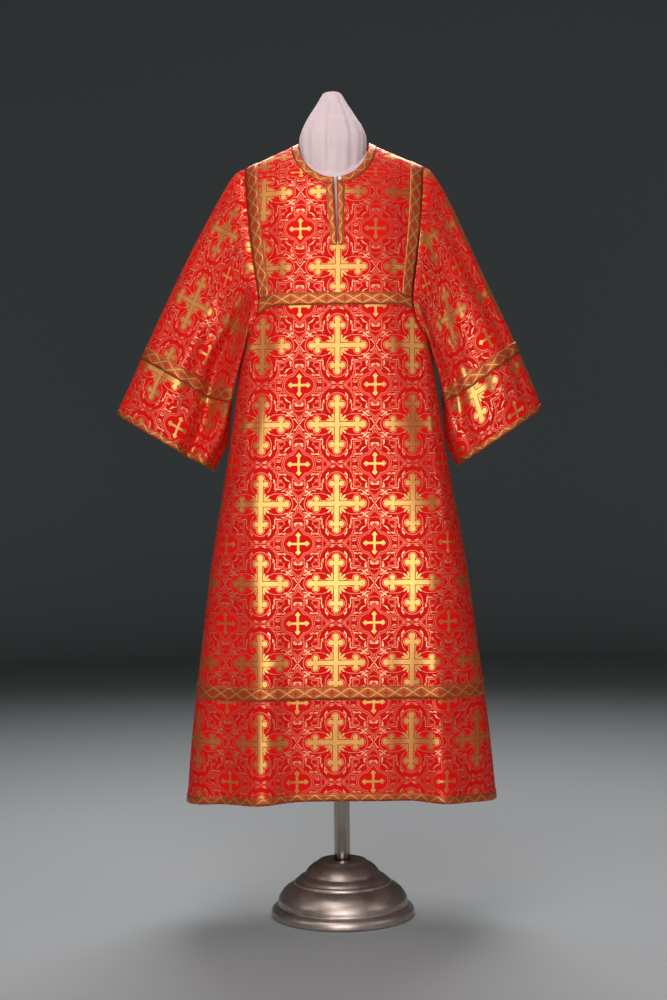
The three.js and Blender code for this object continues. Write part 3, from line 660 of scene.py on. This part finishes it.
sleeveSetups = {
    "Right": {
        "side": -1, "crossU": 0.081, "crossV": 0.116,
        "line": [
            # place, outer x and z, inner x and z, front and back depth
            (0, 178, 1490, 190, 1130, 100, 95), (0.04, 189, 1487, 195, 1133, 99, 94),
            (0.1, 206, 1470, 200, 1130, 96, 90), (0.2, 243, 1408, 204, 1118, 88, 82),
            (0.35, 301, 1300, 206, 1096, 76, 72), (0.5, 361, 1177, 208, 1067, 66, 62),
            (0.66, 390, 1114, 212, 1006, 60, 56), (0.82, 417, 1055, 217, 948, 55, 52),
            (0.955, 434, 1019, 239, 903, 51, 49), (1, 439, 1003, 248, 888, 50, 48),
        ],
        "folds": [
            # turn, spread, place, reach, inward, outward
            (0.76, 0.1, 0.5, 0.34, -20, 26), (0.58, 0.08, 0.45, 0.3, 3, -13), (0.36, 0.12, 0.85, 0.3, 0, 9),
            (-0.7, 0.14, 0.6, 0.35, 0, 12), (-0.45, 0.1, 0.75, 0.35, 0, -10),
            (0.67, 0.05, 0.5, 0.6, 8, -44), (0.8, 0.06, 0.5, 0.4, -6, 10), (0.62, 0.04, 0.3, 0.22, 0, 5),
            (0.47, 0.045, 0.5, 0.3, 0, 4), (0.3, 0.05, 0.6, 0.3, 0, -4), (0.2, 0.05, 0.3, 0.2, 0, 3),
            (0.42, 0.035, 0.2, 0.14, 0, -3.5), (0.55, 0.03, 0.12, 0.12, 0, 4), (0.86, 0.03, 0.7, 0.3, 0, -6),
            (-0.3, 0.05, 0.5, 0.3, 0, 4), (-0.58, 0.04, 0.4, 0.25, 0, -5), (-0.8, 0.05, 0.5, 0.3, 0, 6),
        ],
    },
    "Left": {
        "side": 1, "crossU": 0.160, "crossV": 0.100,
        "line": [
            (0, 178, 1490, 190, 1130, 100, 95), (0.04, 189, 1486, 195, 1133, 99, 94),
            (0.1, 204, 1467, 200, 1130, 96, 90), (0.2, 236, 1408, 204, 1118, 88, 82),
            (0.35, 284, 1300, 206, 1096, 78, 73), (0.5, 339, 1180, 208, 1067, 70, 65),
            (0.66, 367, 1116, 211, 1008, 64, 60), (0.82, 391, 1057, 215, 950, 60, 56),
            (0.955, 405, 1020, 231, 908, 56, 54), (1, 408, 1004, 239, 893, 55, 53),
        ],
        "folds": [
            (0.77, 0.1, 0.45, 0.32, -9, 18), (0.6, 0.08, 0.4, 0.3, 2, -9), (0.38, 0.12, 0.75, 0.35, 0, 10),
            (-0.68, 0.14, 0.6, 0.35, 0, 12), (-0.42, 0.1, 0.7, 0.35, 0, -9),
            (0.71, 0.05, 0.4, 0.4, 3, -20), (0.83, 0.05, 0.42, 0.34, -6, 9), (0.95, 0.045, 0.24, 0.2, 4, -22),
            (0.62, 0.045, 0.45, 0.3, 0, 5), (0.5, 0.045, 0.55, 0.3, 0, -4), (0.36, 0.045, 0.35, 0.25, 0, 4),
            (0.24, 0.05, 0.6, 0.3, 0, -4),
            (0.16, 0.05, 0.3, 0.2, 0, 3), (0.45, 0.035, 0.18, 0.14, 0, -3.5), (0.9, 0.03, 0.65, 0.3, 0, -5),
            (-0.28, 0.05, 0.5, 0.3, 0, 4), (-0.6, 0.04, 0.4, 0.25, 0, -5), (-0.82, 0.05, 0.5, 0.3, 0, 6),
        ],
    },
}


def armhole(turn, side):
    # turn 0 is the shoulder, 1 and -1 the underarm, above 0 the front
    share = (1 + math.cos(turn * math.pi)) / 2
    face = "front" if turn >= 0 else "back"

    def at(part):
        z = cut["underarm"] + (cut["shoulderZ"] - cut["underarm"]) * min(max(part, 0), 1)
        x = read(armholeEdge, z, 1)
        return Vector((side * x, (-1 if face == "front" else 1) * bodyDepth(x, z, face), z))

    point = at(share)
    tangent = at(share + 0.004) - at(share - 0.004)
    normal = surfaceNormal(point.x, point.z, face)
    away = tangent.cross(normal).normalized()
    if away.x * side < 0:
        away.negate()
    if share < 0.004:
        away = Vector((side * 0.5, 0, 0.87))
    if share > 0.996:
        away = Vector((side * 0.9, 0, -0.44))
    return point + away * 0.4


def sleevePoint(setup, turn, w, lift=0.0):
    line, side = setup["line"], setup["side"]

    def oval(t, at):
        outX, outZ, inX, inZ = (read(line, at, k) for k in (1, 2, 3, 4))
        depth = read(line, at, 5 if t >= 0 else 6)
        reach, bulge = math.cos(t * math.pi), math.sin(t * math.pi)
        return Vector((side * ((outX + inX) / 2 + (outX - inX) / 2 * reach), -bulge * depth,
                       (outZ + inZ) / 2 + (outZ - inZ) / 2 * reach))

    point = oval(turn, w) + (armhole(turn, side) - oval(turn, 0)) * (1 - smooth(w / 0.75))
    grow = smooth(w / 0.2)
    for place, spread, at, reach, inward, outward in setup["folds"]:
        near = math.exp(-(((turn - place) / spread) ** 2) - ((w - at) / reach) ** 2) * grow
        point.x += side * inward * near
        point.y -= math.copysign(1, turn) * outward * near
    if lift:
        ahead = sleevePoint(setup, min(turn + 0.01, 1), w) - sleevePoint(setup, max(turn - 0.01, -1), w)
        down = sleevePoint(setup, turn, min(w + 0.01, 1)) - sleevePoint(setup, turn, max(w - 0.01, 0))
        normal = ahead.cross(down).normalized() * side
        point += normal * lift
    return point


def sleeveTurn(setup, s):
    # s runs round the tube from the underarm, over the front or back, to the underarm again
    return (2 * s - 1) * -setup["side"]


def sleevePlace(setup, arcs):
    side, last = setup["side"], setup["line"][-1]
    cuffOut, cuffIn = Vector(last[1:3]), Vector(last[3:5])
    along = (cuffOut - cuffIn).normalized()
    axis = Vector((-along.y, along.x))

    def place(s, t):
        turn, w = sleeveTurn(setup, s), 1 - t
        point = sleevePoint(setup, turn, w)
        v = (Vector((side * point.x, point.z)) - cuffOut).dot(axis)
        return point, (arcs(turn, w) - setup["crossU"] / mm, v - setup["crossV"] / mm)
    return place


def makeArcs(setup):
    # length round the tube from the outer line, front above 0
    steps, rows = 48, 24
    table = []
    for j in range(rows + 1):
        w = j / rows
        points = [sleevePoint(setup, i / steps, w) for i in range(-steps, steps + 1)]
        sums = [0.0]
        for a, b in zip(points, points[1:]):
            sums.append(sums[-1] + (b - a).length)
        table.append([value - sums[steps] for value in sums])
    return lambda turn, w: lookUp(table, (turn + 1) * steps, w * rows)


def sleeveStrip(setup, name, node, first, last, rows, width, material):
    arcs = makeArcs(setup)

    def place(s, t):
        turn = sleeveTurn(setup, s)
        point = sleevePoint(setup, turn, last + (first - last) * t, braid["lift"])
        return point, (arcs(turn, (first + last) / 2), t * width)
    strip = clothSheet(name, 120, rows, place, braid["wall"], wrapped=True)
    return dress(strip, "galloon", material, node)


sleeves = {}
for name, setup in sleeveSetups.items():
    low = name.lower()
    sleeve = clothSheet(f"sleeve{name}", 120, 110, sleevePlace(setup, makeArcs(setup)), cut["wall"], wrapped=True)
    dress(sleeve, "brocade", brocadeBody, f"sleeve_{low}")
    sleeves[name] = (
        sleeve,
        sleeveStrip(setup, f"sleeveBand{name}", f"sleeve_band_{low}", 0.591, 0.657, 4, braid["wide"], galloonFlat),
        sleeveStrip(setup, f"cuffBraid{name}", f"cuff_band_{low}", 0.968, 1.0, 3, braid["cuff"], galloonFold),
    )
print("sleeves ready")


def bodyStrip(name, node, across, rows, path, width, material, lift=braid["lift"], foldHigh=False):
    # path(s, t) gives x, z and face, with s along the braid and t across it
    sums, before = [0.0], onBody(*path(0, 0.5))
    for i in range(1, across + 1):
        point = onBody(*path(i / across, 0.5))
        sums.append(sums[-1] + (point - before).length)
        before = point

    def place(s, t):
        x, z, face = path(s, t)
        i = min(int(s * across + 0.5), across)
        return onBody(x, z, face, lift), (sums[i] - sums[-1] / 2, (1 - t if foldHigh else t) * width)
    return dress(clothSheet(name, across, rows, place, braid["wall"]), "galloon", material, node)


def roundSpread(c):
    # columns gather at the side seams
    return math.sin(c * math.pi / 2) * 0.5 + c * 0.5


def levelPath(face, low, high, inset=0.0, dips=(0, 0)):
    def path(s, t):
        c = acrossFace(s, face)
        z = low + (high - low) * t - dips[0 if c < 0 else 1] * smooth((abs(c) - 0.8) / 0.25)
        if z > cut["underarm"]:
            return (read(armholeEdge, z, 1) - inset) * c, z, face
        return read(bodySections, z, 1) * roundSpread(c), z, face
    return path


def hemPath(face):
    def path(s, t):
        spread = roundSpread(acrossFace(s, face))
        z = hemLine(spread, face) + braid["edging"] * t
        return read(bodySections, z, 1) * spread, z, face
    return path


bands = {}
for face in ("front", "back"):
    title = face.capitalize()
    chestPath, lowerPath = levelPath(face, 1203, 1227, 1.2, (15, 9)), levelPath(face, 446, 472)
    bands[face] = [
        bodyStrip(f"chestBand{title}", f"chest_band_{face}", 90, 4, chestPath, braid["wide"], galloonFlat,
                  lift=braid["chestLift"]),
        bodyStrip(f"lowerBand{title}", f"lower_band_{face}", 150, 4, lowerPath, braid["wide"], galloonFlat),
        bodyStrip(f"hemBraid{title}", f"hem_band_{face}", 150, 3, hemPath(face), braid["edging"], galloonFold),
    ]


def armholePath(side):
    def path(s, t):
        # up the front of the armhole, over the shoulder and down the back
        face = "front" if s < 0.5 else "back"
        start = braid["shoulderStart"]
        rise = start + (1 - start) * (s / 0.5 if s < 0.5 else (1 - s) / 0.5)
        c = 1 - braid["shoulderShare"] * (t if side > 0 else 1 - t) - 0.004
        return *panelPoint(side * c, 1 + rise, face), face
    return path


def collarPath(face, sign):
    def path(s, t):
        # t 0 is the outer edge of the braid and 1 the neckline
        out = 1 - t
        half = cut["neckHalf"] + braid["collarOut"] * out
        low = (cut["neckFront"] if face == "front" else cut["neckBack"]) - braid["collarDown"] * out
        if face == "front":
            nearAngle = math.asin((slit["topX"] * sign + slit["topHalf"] + braid["slitGap"]) / half)
            angle = nearAngle + (math.pi / 2 - nearAngle) * (s if sign > 0 else 1 - s)
            x = sign * half * math.sin(angle)
        else:
            x = half * math.sin((1 - 2 * s) * math.pi / 2)
        z = min(neckline(x, low, half), ridge(x) - 0.02)
        return x, z, face
    return path


def placketPath(sign, width):
    def path(s, t):
        low = slit["footZ"] - 7
        z = low + (cut["neckFront"] - braid["collarDown"] - 1.2 - low) * s
        share = min(max((z - slit["footZ"]) / slitRise, 0), 1)
        middle = slit["footX"] + (slit["topX"] - slit["footX"]) * share
        half = slit["footHalf"] + (slit["topHalf"] - slit["footHalf"]) * share + braid["slitGap"]
        reach = width * (0.72 + 0.28 * share) * (t if sign < 0 else 1 - t)
        return middle + sign * (half + reach), z, "front"
    return path


def collarStrip(name, node, across, face, sign):
    return bodyStrip(name, node, across, 4, collarPath(face, sign), braid["edging"], galloonFold,
                     lift=braid["collarLift"], foldHigh=True)


for title, sign, width in (("Right", -1, 17), ("Left", 1, 15)):
    low = title.lower()
    bands["front"] += [
        bodyStrip(f"shoulderBraid{title}", f"shoulder_band_{low}", 120, 4, armholePath(sign), braid["wide"],
                  galloonFlat),
        collarStrip(f"collarBraid{title}", f"neck_band_{low}", 48, "front", sign),
        bodyStrip(f"placketBraid{title}", f"placket_band_{low}", 30, 3, placketPath(sign, width), braid["placket"],
                  galloonFold, foldHigh=sign > 0),
    ]
bands["back"].append(collarStrip("collarBraidBack", "neck_band_back", 60, "back", 1))
print("braid ready")

# pearl button with its thread loop
button = {
    "radius": 4.0, "x": slit["topX"] + slit["topHalf"] + 5.5, "z": cut["neckFront"] - 5.5, "lift": 1.4, "thread": 0.55,
    "loop": 4.6, "loopWide": 1.25, "loopAside": 1.6, "loopLift": 2.1,
    "outline": [
        (0, 1), (0.35, 0.96), (0.68, 0.78), (0.92, 0.42), (1, 0.05), (0.95, -0.3), (0.7, -0.62), (0.3, -0.76),
        (0, -0.8),
    ],
}
radius = button["radius"]
seat = onBody(button["x"], button["z"], "front", button["lift"] + radius * 0.8)
mesh = spun([(r * radius, up * radius) for r, up in button["outline"]], 28)
bmesh.ops.rotate(mesh, verts=mesh.verts, cent=(0, 0, 0), matrix=Matrix.Rotation(math.radians(90), 3, "X"))
bmesh.ops.translate(mesh, verts=mesh.verts, vec=seat * mm)
pearlButton = finishMesh("pearlButton", mesh)
modify(pearlButton, "round", "SUBSURF", levels=1, render_levels=1)


def makeThread(name, points, radius, sides):
    # a round thread through points, from a circle carried along them
    mesh = bmesh.new()
    rings = []
    last = len(points) - 1
    for i, point in enumerate(points):
        ahead, behind = points[min(i + 1, last)], points[max(i - 1, 0)]
        turnTo = (ahead - behind).to_track_quat("Z", "Y").to_matrix().to_4x4()
        made = bmesh.ops.create_circle(mesh, cap_ends=i in (0, last), segments=sides, radius=radius * mm,
                                       matrix=Matrix.Translation(point * mm) @ turnTo)
        rings.append(list({e for v in made["verts"] for e in v.link_edges}))
    for first, second in zip(rings, rings[1:]):
        bmesh.ops.bridge_loops(mesh, edges=first + second)
    bmesh.ops.recalc_face_normals(mesh, faces=mesh.faces)
    return finishMesh(name, mesh, flatEnds=True)


loopPoints = []
for i in range(15):
    a = math.radians(-60 + i * 300 / 14)
    reach = button["loop"]
    spot = Vector((button["x"] - reach * math.cos(a) * button["loopWide"] - button["loopAside"],
                   button["z"] + reach * math.sin(a)))
    loopPoints.append(onBody(*spot, "front", button["loopLift"]))
threadLoop = makeThread("threadLoop", loopPoints, button["thread"], 8)

net = Nodes("pearl")
cloud = net.noise(net.ownPlace(), 420, 3.0)
net.surface({
    "Base Color": net.mix(cloud, srgb(236, 226, 218), srgb(252, 250, 246)), "Roughness": 0.18, "Coat Weight": 0.6,
    "Coat Roughness": 0.08,
})
net.bump(cloud, 0.00005, 0.3)
dress(pearlButton, "button", net.material, "button")

net = Nodes("redThread")
twist = net.noise(net.ownPlace(), 3000, 1.0)
net.surface({"Base Color": net.mix(twist, srgb(120, 24, 18), srgb(176, 60, 36)), "Roughness": 0.7})
net.bump(twist, 0.0002, 0.8)
dress(threadLoop, "galloon", net.material)
print("button ready")

# limbless form: a padded torso under the cloth and a cloth covered neck
form = {
    "sink": 2.3, "neckSink": 14, "sinkHalf": 118, "power": 2.4, "neckX": -2, "neckY": -16, "gatherZ": 1440,
    "creaseTurn": 262, "creaseZ": 1625, "flapTurn": 292, "flapZ": 1583, "tipZ": 1633, "tipHigh": 7,
}
torsoSections = [
    (780, 128, 84, 80), (860, 158, 98, 98), (930, 165, 104, 104), (1050, 142, 94, 88), (1150, 146, 102, 92),
    (1260, 154, 112, 98), (1400, 160, 112, 100), (1490, 164, 104, 96), (1560, 164, 98, 92),
]
neckSections = [
    (1430, 58, 44), (1480, 62, 48), (1530, 66, 50), (1552, 65, 48), (1575, 56, 42), (1597, 43, 34),
    (1615, 31, 26), (1630, 22, 19), (1640, 15, 13),
]


def formRidge(x):
    return ridge(x) - form["sink"] - form["neckSink"] * smooth((form["sinkHalf"] - abs(x)) / 30)


def torsoPoint(turn, z):
    wide = read(torsoSections, z, 1)
    near, far = 4, wide
    for _ in range(24):
        middle = (near + far) / 2
        if formRidge(middle) > z:
            near = middle
        else:
            far = middle
    width = wide if formRidge(wide) > z else near
    angle = turn * 2 * math.pi
    x = width * math.cos(angle)
    bow = max(1 - abs(math.cos(angle)) ** form["power"], 0) ** (1 / form["power"])
    depth = read(torsoSections, z, 3 if math.sin(angle) > 0 else 2) * bow * cap(z, formRidge(x))
    return Vector((x, math.copysign(depth, math.sin(angle)), z))


def neckPoint(turn, z):
    angle = turn * 2 * math.pi
    width, depth = read(neckSections, z, 1), read(neckSections, z, 2)
    # soft gathers run up the cloth and meet at the tip, with one flap folded over to the left
    high = smooth((z - form["gatherZ"]) / 60)
    gather = 1 + 0.016 * high * math.sin(9 * angle + 0.6) + 0.012 * high * math.sin(17 * angle + 1.9)
    fromCrease = angle - math.radians(form["creaseTurn"])
    crease = math.exp(-((fromCrease / 0.09) ** 2)) * smooth((form["creaseZ"] - z) / 40)
    flapShare = smooth((math.cos(angle - math.radians(form["flapTurn"])) + 0.1) * 3)
    flapEdge = smooth((z - (form["flapZ"] - 6 * math.cos(angle))) / 3.5) * flapShare
    scale = gather - 0.055 * crease - 0.035 * flapEdge
    return Vector((form["neckX"] + width * scale * math.cos(angle),
                   form["neckY"] + depth * scale * math.sin(angle), z))


def roundBody(name, columns, heights, pointAt):
    # a skin laid round on rings and closed at both ends
    mesh = bmesh.new()
    bmesh.ops.create_grid(mesh, x_segments=columns, y_segments=len(heights) - 1, size=1)
    for vert in mesh.verts:
        row = round((vert.co.y + 1) / 2 * (len(heights) - 1))
        vert.co = pointAt((vert.co.x + 1) / 2 % 1.0, heights[row]) * mm
    bmesh.ops.remove_doubles(mesh, verts=mesh.verts, dist=1e-6)
    rims = [e for e in mesh.edges if e.is_boundary]
    bmesh.ops.holes_fill(mesh, edges=rims, sides=0)
    bmesh.ops.triangulate(mesh, faces=[f for f in mesh.faces if len(f.verts) > 4])
    bmesh.ops.recalc_face_normals(mesh, faces=mesh.faces)
    return finishMesh(name, mesh)


torsoHeights = [780, 786, 800, 825, 860, 900, 940, 990, 1040, 1090, 1140, 1190, 1240, 1290, 1340, 1380, 1410, 1435,
                1455, 1470, 1485, 1497, 1508, 1518, 1528, 1537, 1545, 1552]
neckHeights = [1430 + 4 * i for i in range(46)] + [1613 + 2.5 * i for i in range(9)] + [1635.5, 1638, 1639.6, 1640]


def topped(turn, z):
    # the cloth closes softly over the tip
    tipZ = form["tipZ"]
    if z <= tipZ:
        return neckPoint(turn, z)
    full = neckPoint(turn, tipZ)
    share = math.sqrt(max(1 - ((z - tipZ) / form["tipHigh"]) ** 2, 0.02))
    middleX, middleY = form["neckX"], form["neckY"]
    return Vector((middleX + (full.x - middleX) * share, middleY + (full.y - middleY) * share, z))


formTorso = roundBody("formTorso", 72, torsoHeights, torsoPoint)
formNeck = roundBody("formNeck", 220, neckHeights, topped)

net = Nodes("knitCloth")
place = net.ownPlace()
ribs = net.noise(net.stretched(place, (1500, 1500, 500)), 1.0, 1.0)
tone = net.noise(place, 28, 3.0)
pleats = net.noise(net.stretched(place, (90, 90, 9)), 1.0, 3.0)
base = net.mix(tone, srgb(200, 174, 180), srgb(224, 204, 208))
net.surface({
    "Base Color": net.mix(net.times(ribs, 0.35), base, srgb(200, 172, 180)), "Roughness": 0.85, "Sheen Weight": 0.3,
})
net.bump(net.ramp(pleats, 6.0, ribs), 0.0006, 0.8)
dress(formTorso, "form_cloth", net.material, "form_body")
dress(formNeck, "form_cloth", net.material)
print("form ready")

# stand: a steel post in a stepped pewter base
postSetup = {"radius": 16, "foot": 104.2, "top": 779.8}


def lathe(name, outline, steps, edge=0.0):
    obj = finishMesh(name, spun(outline, steps))
    if edge:
        modify(obj, "edges", "BEVEL", width=edge * mm, segments=3, limit_method="ANGLE", angle_limit=math.radians(24))
    return obj


foot, top, r = postSetup["foot"], postSetup["top"], postSetup["radius"]
postOutline = [(0, foot), (r, foot), (r, 400), (r, top - 40), (r, top), (r - 3, top), (0, top)]
post = lathe("steelPost", postOutline, 72, 0.6)

baseOutline = [
    (0, 0), (138, 0), (142.5, 1.5), (143, 4), (143, 6), (142.6, 12), (140.5, 16), (136, 19.5), (132, 21), (130, 22.5),
    (129.5, 25), (129.6, 29), (129, 33), (127.8, 37), (125.5, 41), (122.5, 45.5), (119, 50), (114.8, 54.2),
    (110, 57.5), (105, 60.3), (101, 62), (97.6, 63.4), (96.5, 64.5), (96.6, 66), (96, 67.5), (94.6, 69), (92, 70),
    (90.5, 71.8), (88, 75), (84, 77.8), (79, 80), (76.4, 81.4), (75, 83.5), (73, 87), (70, 91), (66.4, 95.2),
    (62, 99), (58, 101.5), (54, 103.5), (51.2, 105), (49.5, 107), (46.5, 109.6), (42, 111), (30, 111.3), (23, 111),
    (20, 110.4), (19, 109), (18.5, 104), (0, 104),
]
base = lathe("pewterBase", baseOutline, 128)
modify(base, "round", "SUBSURF", levels=1, render_levels=1)

net = Nodes("brushedSteel")
place = net.ownPlace()
smudge = net.noise(place, 26, 4.0)
net.surface({
    "Base Color": net.mix(smudge, srgb(150, 138, 128), srgb(184, 172, 162)), "Metallic": 1.0,
    "Roughness": net.ramp(smudge, 0.1, 0.16),
})
net.bump(net.noise(net.stretched(place, (600, 600, 12)), 1.0, 3.0), 0.00006, 0.5)
dress(post, "post_steel", net.material, "post")

net = Nodes("wornPewter")
place = net.ownPlace()
blotch = net.noise(place, 22, 5.0, 0.65)
fine = net.noise(place, 240, 4.0, 0.7)
scuff = net.noise(net.stretched(place, (60, 60, 420)), 1.0, 4.0, 0.6)
edges = net.add("ShaderNodeNewGeometry").outputs["Pointiness"]
tone = net.mix(net.ramp(blotch, 2.2, -0.6, True), srgb(104, 86, 80), srgb(176, 156, 148))
tone = net.mix(net.times(net.ramp(scuff, 2.6, -1.1, True), 0.5), tone, srgb(212, 196, 188))
tone = net.mix(net.times(net.ramp(edges, 9.0, -4.2, True), 0.7), tone, srgb(206, 196, 190))
net.surface({"Base Color": tone, "Metallic": net.ramp(fine, -0.2, 0.95), "Roughness": net.ramp(blotch, 0.3, 0.22)})
net.bump(net.calc("ADD", fine, scuff), 0.0002, 0.45)
dress(base, "base_metal", net.material, "base")
print("stand ready")

# what each sleeve's cloth was cut to, flat size and area; the loop only unpacks the sleeves and uses none of it
for title, flat, area in (("Right", (0.60, 0.56), 0.24), ("Left", (0.60, 0.54), 0.21)):
    sleeve, band, cuff = sleeves[title]

# pale floor that runs up into a round wall, the same from every side, and soft light
studio = {
    "floorTone": (0.3, 0.315, 0.33, 1), "wallTone": (0.15, 0.172, 0.178, 1), "flat": 5400, "curve": 1400, "high": 7000,
    "fadeFrom": 1.2, "fadeOver": 4.2, "lampSpread": 130, "worldTone": (0.62, 0.6, 0.6, 1), "worldStrength": 0.12,
}
flat, curve = studio["flat"], studio["curve"]
sweep = [(x, 0) for x in (0, 700, 1500, 2600, 4000, flat)]
for i in range(1, 13):
    a = math.radians(90 * i / 12)
    sweep.append((flat + curve * math.sin(a), curve * (1 - math.cos(a))))
sweep += [(flat + curve, 3400), (flat + curve, studio["high"])]
backdrop = lathe("backdrop", sweep, 128)
net = Nodes("paperSweep")
fadeOver = studio["fadeOver"]
# painted falloff of light: the floor's colour is pale round the object and darkens outwards by distance into the wall's
# tone
paintedFalloff = net.ramp(net.vector("LENGTH", net.ownPlace()), 1 / fadeOver, -studio["fadeFrom"] / fadeOver, True)
net.surface({"Base Color": net.mix(paintedFalloff, studio["floorTone"], studio["wallTone"]), "Roughness": 0.9})
backdrop.data.materials.append(net.material)

lights = [
    # name, place, aim, size, watts, colour
    ("front", (-0.25, -4.4, 2.05), (0, 0, 0.95), (2.8, 3.4), 58, (1, 0.985, 0.96)),
    ("high", (-0.8, -1.8, 3.4), (0, -0.1, 1.4), (1.8, 1.4), 19, (1, 0.985, 0.96)),
    ("low", (-0.1, -4.2, 0.5), (0, 0, 0.5), (2.4, 0.9), 18, (1, 0.98, 0.95)),
    ("left", (-3.2, -1.4, 2.2), (0, 0, 0.9), (1.4, 2.0), 7, (1, 0.97, 0.94)),
    ("right", (3.2, -1.5, 2.0), (0, 0, 0.9), (1.4, 2.0), 7, (1, 0.98, 0.96)),
    ("top", (0, 0.6, 3.3), (0, 0, 0.8), (1.8, 1.8), 12, (1, 1, 1)),
    ("rear", (0.3, 2.5, 3.6), (0, 0, 0.9), (2.4, 1.6), 62, (1, 0.985, 0.96)),
]
for name, spot, aim, size, watts, colour in lights:
    data = bpy.data.lights.new(name, "AREA")
    data.shape = "RECTANGLE"
    data.size, data.size_y = size
    data.energy = watts
    data.color = colour
    data.spread = math.radians(studio["lampSpread"])
    lamp = bpy.data.objects.new(name, data)
    lamp.location = spot
    lamp.visible_camera = False
    lamp.rotation_euler = (Vector(aim) - Vector(spot)).to_track_quat("-Z", "Y").to_euler()
    bpy.context.scene.collection.objects.link(lamp)

world = bpy.data.worlds.new("room")
bpy.context.scene.world = world
world.use_nodes = True
background = world.node_tree.nodes["Background"]
background.inputs["Color"].default_value = studio["worldTone"]
background.inputs["Strength"].default_value = studio["worldStrength"]
bpy.context.scene.view_settings.view_transform = "Standard"
print("studio ready")
